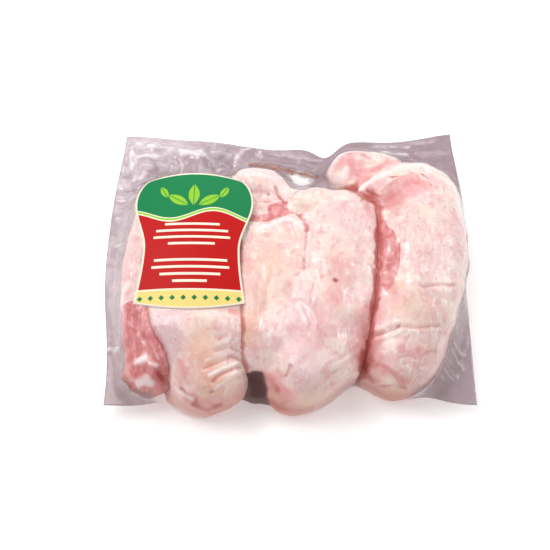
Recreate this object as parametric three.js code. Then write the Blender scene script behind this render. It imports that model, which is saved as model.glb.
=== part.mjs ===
import * as THREE from "three";

// A sealed clear vacuum bag shrunk tight round five raw turkey wing pieces, with a paper label stuck on top.
// Millimetres, +Z up. The pack lies on its back: the bag's open-end seal is at +Y, its bottom seal at -Y.
// The origin is on the surface that it lies on, under the middle of the bag.

// Bag: the two film sheets meet in a flat border that stands out round the meat at SEAM_HEIGHT.
const HALF_WIDTH = 169;
const FRONT = -147;
const BACK_LEFT = 152;
const BACK_RISE = 5;
const BORDER_THICKNESS = 1.4;
const SEAM_HEIGHT = 27;
const FRONT_SEAM_DROP = 13;
const FRONT_CORNER_DROP = 7;
const BORDER_WAVE = 1.8;

// Film pulled tight: curvature that the vacuum gives it where it spans a crease, per millimetre.
const VACUUM_CURVATURE = 0.11;
const RELAXING_STEPS = 260;
const COLUMNS = 56;
const ROWS = 50;

// Label: a stiff sticker with rounded shoulders, a drawn-in waist and a wider foot. Shares of its length run
// from its foot to its top.
const LABEL_CENTRE = [-91, -1];
const LABEL_LENGTH = 147;
const LABEL_SHOULDER_HALF = 57;
const LABEL_SHOULDER_SHARE = 0.8;
const LABEL_WAIST_HALF = 45;
const LABEL_FOOT_HALF = 51;
const LABEL_TOP_CORNER = 17;
const LABEL_EDGE_ARCH = 7;
const LABEL_THICKNESS = 0.7;
const LABEL_GAP = 0.4;
const LABEL_CROWN = 80;
const LABEL_SIDE_FALL = 0.0022;
const LABEL_END_FALL = 0.0011;
const LABEL_COLUMNS = 12;
const LABEL_ROWS = 20;
const LABEL_PRESS_MARGIN = 10;

const STATIONS = 22;

// Each piece of meat is a run of balls along a bent spine, from its far end to its near one. A station is the
// spine's x, y and height and the piece's half width there; plump is its half height over its half width.
const MEAT = {
  outer_left: { far: [-127, 34, 39, 26], middle: [-130, -36, 39, 28], near: [-123, -106, 31, 25], plump: 1.12 },
  left: { far: [-90, 34, 37, 40], middle: [-92, -40, 37, 47], near: [-76, -114, 29, 37], plump: 0.93 },
  centre: { far: [-14, 9, 41, 35], middle: [-15, -46, 42, 35], near: [-23, -100, 33, 28], plump: 0.94 },
  middle_right: { far: [53, 30, 42, 38], middle: [48, -41, 44, 42], near: [16, -103, 34, 43], plump: 0.93 },
  right: { far: [127, 61, 39, 36], middle: [128, -12, 40, 43], near: [102, -99, 30, 38], plump: 0.93 },
  left_joint: { far: [-42, 72, 38, 27], middle: [-26, 73, 38, 26], near: [-8, 65, 38, 20], plump: 1.0 },
  lean_band: { far: [-52, 36, 44, 14], middle: [-25, 41, 46, 15], near: [4, 46, 46, 13], plump: 1.0 },
  fat_knob: { far: [18, 50, 49, 17], middle: [24, 54, 51, 18], near: [34, 57, 49, 17], plump: 1.0 },
  right_joint: { far: [67, 94, 36, 27], middle: [86, 100, 36, 22], near: [108, 104, 36, 14], plump: 0.95 },
};

// Hollows in the meat's top: a bent line through three places, how deep it is and how far it reaches
// to each side.
const HOLLOWS = [
  { name: "bare lean, right piece", through: [[85, 42], [88, -12], [82, -62]], depth: 5, reach: 12 },
  { name: "long fold, right piece", through: [[76, -96], [100, -91], [134, -87]], depth: 4, reach: 5 },
  { name: "short fold, right piece", through: [[112, -49], [132, -51], [157, -44]], depth: 3, reach: 5 },
  { name: "tuck, middle piece", through: [[29, -34], [26, -56], [17, -70]], depth: 3, reach: 6 },
  { name: "gathered skin, left piece", through: [[-70, -117], [-57, -125], [-44, -130]], depth: 4, reach: 6 },
];
const HOLLOW_POINTS = 9;

const bell = (distance, reach) => Math.exp(-(distance * distance) / (reach * reach));
const blend = (a, b, share) => a + (b - a) * share;
const smooth = (share) => {
  const t = Math.min(1, Math.max(0, share));
  return t * t * (3 - 2 * t);
};

// Value at share t of a curve that passes a, b and c at 0, a half and 1.
function throughThree(a, b, c, t) {
  return a * (1 - t) * (1 - 2 * t) + 4 * b * t * (1 - t) + c * t * (2 * t - 1);
}

function stationsOf({ far, middle, near, plump }) {
  return Array.from({ length: STATIONS }, (_, i) => {
    const t = i / (STATIONS - 1);
    const [x, y, z, radius] = far.map((value, k) => throughThree(value, middle[k], near[k], t));
    return { x, y, z, radius, plump };
  });
}

const BALLS = Object.values(MEAT).flatMap(stationsOf);

function hollowAt(x, y) {
  let deepest = 0;
  for (const { through, depth, reach } of HOLLOWS) {
    for (let i = 0; i < HOLLOW_POINTS; i++) {
      const t = i / (HOLLOW_POINTS - 1);
      const [px, py] = through[0].map((value, k) => throughThree(value, through[1][k], through[2][k], t));
      const ends = Math.sqrt(Math.sin(Math.PI * blend(0.08, 0.92, t)));
      deepest = Math.max(deepest, depth * ends * bell(Math.hypot(x - px, y - py), reach));
    }
  }
  return deepest;
}

// Height of the meat's top and underside over (x, y), with the underside flat where it rests. Null where
// there is none.
function meatHeights(x, y) {
  let top = -Infinity;
  let under = Infinity;
  for (const ball of BALLS) {
    const room = ball.radius * ball.radius - (x - ball.x) ** 2 - (y - ball.y) ** 2;
    if (room <= 0) continue;
    const half = ball.plump * Math.sqrt(room);
    top = Math.max(top, ball.z + half);
    under = Math.min(under, ball.z - half);
  }
  if (top === -Infinity) return null;
  return { top: Math.max(top - hollowAt(x, y), (top + under) / 2), under: Math.max(0, under) };
}

// The bag's four edges. u runs from the left edge to the right one, v from the front to the back, both 0 to 1.
const leftEdge = (v) => -HALF_WIDTH - 1 - 3 * v - 10 * bell(v - 0.55, 0.3) + 1.2 * Math.sin(14 * v);
const rightEdge = (v) => HALF_WIDTH + 3 + 4 * v + 6 * bell(v - 0.68, 0.2);
function backEdge(u) {
  const drawnIn = 19 * bell(u - 0.46, 0.22) + 17 * bell(u - 0.612, 0.045) + 10 * bell(u - 0.8, 0.13);
  return BACK_LEFT + BACK_RISE * u - drawnIn;
}
function frontEdge(u) {
  const tips = 10 * bell(u - 0.27, 0.08) + 9 * bell(u - 0.515, 0.075);
  const creases = 5 * bell(u - 0.155, 0.045) + 20 * bell(u - 0.683, 0.068) + 9 * bell(u - 0.86, 0.07);
  return FRONT - tips + creases;
}

// The bag's plan: a rectangle whose edges are drawn in and out as above, blended from all four sides.
function bagPoint(u, v) {
  const x = blend(leftEdge(v), rightEdge(v), u);
  const y = blend(frontEdge(u), backEdge(u), v);
  return [x, y];
}

function borderHeight(u, v) {
  const front = smooth((0.2 - v) / 0.2);
  const middle = smooth(u / 0.22) * smooth((1 - u) / 0.2);
  const wave = BORDER_WAVE * Math.sin(17 * u + 2) * Math.sin(13 * v + 1);
  const corners = FRONT_CORNER_DROP * (1 - middle) * bell(v, 0.3);
  return SEAM_HEIGHT - FRONT_SEAM_DROP * front * middle - corners + wave * (1 - front);
}

function labelHalfWidth(share) {
  const waistShare = LABEL_SHOULDER_SHARE / 2;
  const flare = Math.sin((Math.PI / 2) * (share / waistShare));
  if (share < waistShare) return blend(LABEL_FOOT_HALF, LABEL_WAIST_HALF, flare);
  const up = smooth((share - waistShare) / waistShare);
  if (share < LABEL_SHOULDER_SHARE) return blend(LABEL_WAIST_HALF, LABEL_SHOULDER_HALF, up);
  const over = (share - LABEL_SHOULDER_SHARE) / (1 - LABEL_SHOULDER_SHARE);
  return LABEL_SHOULDER_HALF - LABEL_TOP_CORNER * (1 - Math.sqrt(1 - Math.min(1, over) ** 2 * 0.98));
}

function labelHeight(x, y) {
  const across = x - LABEL_CENTRE[0];
  const along = y - LABEL_CENTRE[1];
  return LABEL_CROWN - LABEL_SIDE_FALL * across * across - LABEL_END_FALL * along * along;
}

// a runs from -1 at the label's left edge to 1 at its right one, share from 0 at its foot to 1 at its top.
function labelPoint(a, share) {
  const arch = LABEL_EDGE_ARCH * (1 - a * a);
  const low = -LABEL_LENGTH / 2 + LABEL_EDGE_ARCH - arch;
  const high = LABEL_LENGTH / 2 - LABEL_EDGE_ARCH + arch;
  return [LABEL_CENTRE[0] + a * labelHalfWidth(share), LABEL_CENTRE[1] + blend(low, high, share)];
}

// How far (x, y) is inside the label's outline, counted as negative outside it.
function insideLabel(x, y) {
  const share = (y - LABEL_CENTRE[1]) / LABEL_LENGTH + 0.5;
  const side = labelHalfWidth(Math.min(1, Math.max(0, share))) - Math.abs(x - LABEL_CENTRE[0]);
  const end = LABEL_LENGTH / 2 - Math.abs(y - LABEL_CENTRE[1]);
  return Math.min(side, end);
}

// The film's two sheets on the bag's grid. Each is let go from the meat and the border and drawn straight,
// step by step, against the vacuum that presses it back on them.
function relaxedFilm() {
  const at = (column, row) => row * (COLUMNS + 1) + column;
  const plan = [];
  const floorOfTop = [];
  const ceilingOfUnder = [];
  for (let row = 0; row <= ROWS; row++) {
    for (let column = 0; column <= COLUMNS; column++) {
      const [u, v] = [column / COLUMNS, row / ROWS];
      const [x, y] = bagPoint(u, v);
      const border = borderHeight(u, v);
      const meat = meatHeights(x, y);
      plan.push([x, y]);
      floorOfTop.push(Math.max(border + BORDER_THICKNESS / 2, meat ? meat.top : 0));
      ceilingOfUnder.push(Math.min(border - BORDER_THICKNESS / 2, meat ? meat.under : border));
    }
  }
  const step = (2 * HALF_WIDTH) / COLUMNS;
  const pull = (VACUUM_CURVATURE * step * step) / 4;
  let top = [...floorOfTop];
  let under = [...ceilingOfUnder];
  for (let turn = 0; turn < RELAXING_STEPS; turn++) {
    const nextTop = [...top];
    const nextUnder = [...under];
    for (let row = 1; row < ROWS; row++) {
      for (let column = 1; column < COLUMNS; column++) {
        const i = at(column, row);
        const around = [at(column - 1, row), at(column + 1, row), at(column, row - 1), at(column, row + 1)];
        const mean = (heights) => around.reduce((sum, k) => sum + heights[k], 0) / 4;
        nextTop[i] = Math.max(floorOfTop[i], mean(top) - pull);
        nextUnder[i] = Math.min(ceilingOfUnder[i], mean(under) + pull);
        const [x, y] = plan[i];
        const inside = insideLabel(x, y);
        const pressed = labelHeight(x, y) - LABEL_GAP;
        if (inside > 0) nextTop[i] = pressed;
        else if (inside > -LABEL_PRESS_MARGIN) nextTop[i] = Math.min(nextTop[i], pressed);
      }
    }
    top = nextTop;
    under = nextUnder;
  }
  return { plan, top, under };
}

// A closed solid between two sheets that share one grid: the top sheet, the lower one, and a wall round
// their rim.
function solidBetween(columns, rows, upper, lower) {
  const sheet = new THREE.PlaneGeometry(1, 1, columns, rows);
  const perSheet = (columns + 1) * (rows + 1);
  const positions = new Float32Array(perSheet * 6);
  for (let i = 0; i < perSheet; i++) {
    const column = i % (columns + 1);
    const row = rows - Math.floor(i / (columns + 1));
    positions.set(upper(column, row), i * 3);
    positions.set(lower(column, row), (perSheet + i) * 3);
  }
  const faces = [];
  const flat = sheet.index.array;
  for (let k = 0; k < flat.length; k += 3) {
    const [a, b, c] = flat.subarray(k, k + 3);
    faces.push(a, b, c, perSheet + a, perSheet + c, perSheet + b);
  }
  const at = (column, row) => row * (columns + 1) + column;
  const rim = [];
  for (let column = 0; column < columns; column++) rim.push(at(column, 0));
  for (let row = 0; row < rows; row++) rim.push(at(columns, row));
  for (let column = columns; column > 0; column--) rim.push(at(column, rows));
  for (let row = rows; row > 0; row--) rim.push(at(0, row));
  rim.forEach((a, k) => {
    const b = rim[(k + 1) % rim.length];
    faces.push(a, b, perSheet + b, a, perSheet + b, perSheet + a);
  });
  const solid = new THREE.BufferGeometry();
  solid.setAttribute("position", new THREE.BufferAttribute(positions, 3));
  solid.setIndex(faces);
  solid.computeVertexNormals();
  return solid;
}

function makeBag() {
  const film = relaxedFilm();
  const pointOf = (heights) => (column, row) => {
    const i = row * (COLUMNS + 1) + column;
    return [...film.plan[i], heights[i]];
  };
  const geometry = solidBetween(COLUMNS, ROWS, pointOf(film.top), pointOf(film.under));
  const material = new THREE.MeshStandardMaterial({ color: 0xe9c9c4, roughness: 0.25, metalness: 0 });
  const bag = new THREE.Mesh(geometry, material);
  bag.name = "bag";
  return bag;
}

function makeLabel() {
  const pointAt = (lift) => (column, row) => {
    const [x, y] = labelPoint((2 * column) / LABEL_COLUMNS - 1, row / LABEL_ROWS);
    return [x, y, labelHeight(x, y) + lift];
  };
  const geometry = solidBetween(LABEL_COLUMNS, LABEL_ROWS, pointAt(LABEL_THICKNESS), pointAt(0));
  const material = new THREE.MeshStandardMaterial({ color: 0xd0211f, roughness: 0.4, metalness: 0 });
  const label = new THREE.Mesh(geometry, material);
  label.name = "label";
  return label;
}

const pack = new THREE.Group();
pack.add(makeBag(), makeLabel());

export default pack;
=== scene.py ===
"""Looks of a clear vacuum bag of raw turkey wing pieces with a paper label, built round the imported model.

Lengths are millimetres in the part's frame, +Z up, as in the part's source, and meshes are made in metres.
"""
import itertools
import math

import bmesh
import bpy
import numpy as np
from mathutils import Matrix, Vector
from mathutils.bvhtree import BVHTree


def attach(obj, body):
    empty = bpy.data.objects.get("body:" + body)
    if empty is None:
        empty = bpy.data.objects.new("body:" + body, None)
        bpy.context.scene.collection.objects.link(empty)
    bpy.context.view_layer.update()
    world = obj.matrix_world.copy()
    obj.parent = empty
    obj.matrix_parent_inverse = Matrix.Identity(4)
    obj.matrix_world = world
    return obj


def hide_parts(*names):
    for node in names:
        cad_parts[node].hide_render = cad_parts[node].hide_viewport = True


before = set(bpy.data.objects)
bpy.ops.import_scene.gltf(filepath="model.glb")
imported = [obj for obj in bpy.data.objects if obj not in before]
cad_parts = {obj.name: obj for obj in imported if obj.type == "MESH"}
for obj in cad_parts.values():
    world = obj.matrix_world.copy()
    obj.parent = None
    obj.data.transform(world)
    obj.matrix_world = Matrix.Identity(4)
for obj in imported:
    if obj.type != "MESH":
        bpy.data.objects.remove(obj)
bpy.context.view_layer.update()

MM = 0.001

# Bag: two film sheets that meet in a flat border round the meat.
HALF_WIDTH = 169
FRONT = -147
BACK_LEFT = 152
BACK_RISE = 5
SEAM_HEIGHT = 27
FRONT_SEAM_DROP = 13
FRONT_CORNER_DROP = 7
BORDER_WAVE = 1.8
BORDER_THICKNESS = 0.7
FILM_COLUMNS = 220
FILM_ROWS = 192
# How far the film keeps from what it covers, and from the ground.
FILM_CLEARANCE = 0.35
FILM_REST_GAP = 0.05
FILM_STEP = 2 * HALF_WIDTH / FILM_COLUMNS
# How much the vacuum bends the film inwards where it touches nothing.
VACUUM_CURVATURE = 0.11
# The film is drawn tight on ever finer grids: each one's step, and how many turns it gets.
RELAXING = ((4, 400), (2, 300), (1, 260))
# Rays that look for the meat start above and below all of it. Where they meet nothing it counts as this low.
ABOVE_ALL = 200
BELOW_ALL = -50
NOWHERE = -1000
# Where the bag's outline leaves straight lines: the middle and the reach of each bend, in shares of its side,
# and how far it goes.
LEFT_SWELLS = [(0.55, 0.3, 10)]
RIGHT_SWELLS = [(0.68, 0.2, 6)]
BACK_DIPS = [(0.46, 0.22, 19), (0.612, 0.045, 17), (0.8, 0.13, 10)]
FRONT_TIPS = [(0.27, 0.08, 10), (0.515, 0.075, 9)]
FRONT_DIPS = [(0.155, 0.045, 5), (0.683, 0.068, 20), (0.86, 0.07, 9)]

# Label: shares of its length run from its foot to its top.
LABEL_CENTRE = (-91, -1)
LABEL_LENGTH = 147
LABEL_SHOULDER_HALF = 57
LABEL_SHOULDER_SHARE = 0.8
LABEL_WAIST_HALF = 45
LABEL_FOOT_HALF = 51
LABEL_TOP_CORNER = 17
LABEL_TOP_ROUNDNESS = 0.98
LABEL_EDGE_ARCH = 7
LABEL_CROWN = 80
LABEL_SIDE_FALL = 0.0022
LABEL_END_FALL = 0.0011
LABEL_THICKNESS = 0.25
LABEL_GAP = 0.15
LABEL_COLUMNS = 60
LABEL_ROWS = 84
LABEL_PRESS_MARGIN = 10
# What is beside the label may stand higher, by this times its distance squared.
LABEL_RELEASE = 0.1

# Meat: each form is a run of balls along a bent spine. A row gives the spine's far, middle and near station
# and how plump the form is, its half height over its half width. A station is x, y, height and half width.
VOXEL = 1.5
BALL_SPACING = 5
FORMS = {
    "outer_left": ((-130, 34, 37, 25), (-138, -40, 38, 20), (-124, -112, 31, 27), 1.12),
    "left": ((-90, 34, 37, 42), (-90, -45, 38, 47), (-74, -118, 28, 39), 0.93),
    "centre": ((-14, 9, 41, 33), (-18, -46, 42, 31), (-31, -104, 33, 25), 0.94),
    "middle_right": ((51, 30, 42, 38), (45, -38, 44, 38), (20, -108, 31, 47), 0.93),
    "right": ((129, 60, 39, 42), (125, -15, 41, 46), (103, -104, 30, 36), 0.9),
    "left_joint": ((-35, 72, 37, 27), (-25, 71, 37, 26), (-11, 66, 40, 19), 1.0),
    "lean_band": ((-52, 36, 44, 14), (-25, 41, 46, 15), (4, 46, 46, 13), 1.0),
    "fat_knob": ((15, 45, 52, 17), (23, 50, 53, 17), (33, 53, 50, 15), 1.0),
    "right_joint": ((67, 94, 36, 27), (86, 100, 36, 22), (108, 104, 36, 14), 0.95),
    "joint_cap": ((-135, -109, 42, 15), (-128, -117, 38, 15), (-124, -126, 29, 13), 1.0),
    "joint_heel": ((-142, -120, 27, 12), (-137, -126, 24, 12), (-130, -131, 22, 10), 1.0),
    "left_gap_lean": ((-30, -92, 30, 18), (-31, -110, 28, 17), (-32, -130, 20, 15), 0.9),
    "right_gap_lean": ((64, -90, 24, 16), (62, -104, 21, 14), (60, -116, 18, 12), 0.9),
    "left_toe": ((-98, -130, 19, 18), (-87, -140, 18, 20), (-71, -134, 20, 16), 1.0),
    "middle_toe": ((-6, -130, 22, 20), (6, -137, 18, 20), (28, -127, 20, 20), 1.0),
    "right_toe": ((80, -120, 20, 19), (97, -124, 18, 19), (112, -117, 20, 18), 1.0),
    "skin_roll": ((70, 50, 62, 5), (88, 76, 58, 6), (118, 94, 52, 7), 1.0),
}
LOBES = {
    "outer_left": ("outer_left", "joint_cap", "joint_heel"),
    "left": ("left", "left_toe"),
    "centre": ("centre", "left_joint", "lean_band", "left_gap_lean"),
    "middle_right": ("middle_right", "fat_knob", "middle_toe"),
    "right": ("right", "right_joint", "skin_roll", "right_gap_lean", "right_toe"),
}
WINGS = {
    "wing_outer_left": ("outer_left",),
    "wing_left": ("left",),
    "wing_centre": ("centre", "middle_right"),
    "wing_right": ("right",),
}
# How far touching wings run into each other, so that no slit shows between them.
CONTACT_OVERLAP = 0.6
# The least height of a wing over the ground, and the least room between it and the bag's front edge.
REST_GAP = 0.5
RIM_GAP = 1.2
RIM_SOFTNESS = 3
# The balls start swollen and are squeezed into the heap. Then they grow a little and are squeezed again.
SWELL = 9
REGROWTH = 2.5
# Halvings of the way to a ball's middle in a squeeze.
SQUEEZE_STEPS = 8
# Passes of smoothing after the remesh, after the first squeeze, after the second and at the end. The last two
# leave out what is nearer to a neighbour than SEAM_REACH, which keeps the seams crisp.
SMOOTHING = (6, 2, 3, 1)
SEAM_REACH = 3
# How far a seam strays to each side, and over what length.
SEAM_WAVER = 1.1
SEAM_WAVES = 15
# The vacuum squeezes neighbours into one heap: how widely two lobes flow together, and how deep the groove
# between them is.
PRESSED = {
    ("outer_left", "left"): (40, 0.6),
    ("left", "centre"): (46, 0.2),
    ("left", "middle_right"): (4, 0.0),
    ("centre", "middle_right"): (40, 0.3),
    ("centre", "right"): (4, 0.0),
    ("middle_right", "right"): (28, 1.6),
}
GROOVE_REACH = 5
# The skin's relief: the height of its lumps, their size, or one for each axis, and their own seed.
RELIEF = ((1.5, 36, 0), (0.7, 16, 2), (0.3, 9, 3), (0.15, 4.5, 4), (0.5, (5, 18, 9), 5))
LEAN_FIBRES = (0.4, (3, 22, 6), 6)
# Distances from a neighbour between which the relief grows to its full height.
RELIEF_START = (0.5, 8)
# At the front and at the back the lobes part again: where they do, and how much of the flow is left.
FRONT_PARTING = (-88, -130)
BACK_PARTING = (38, 64)
PARTING_FLOW = 0.1

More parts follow.
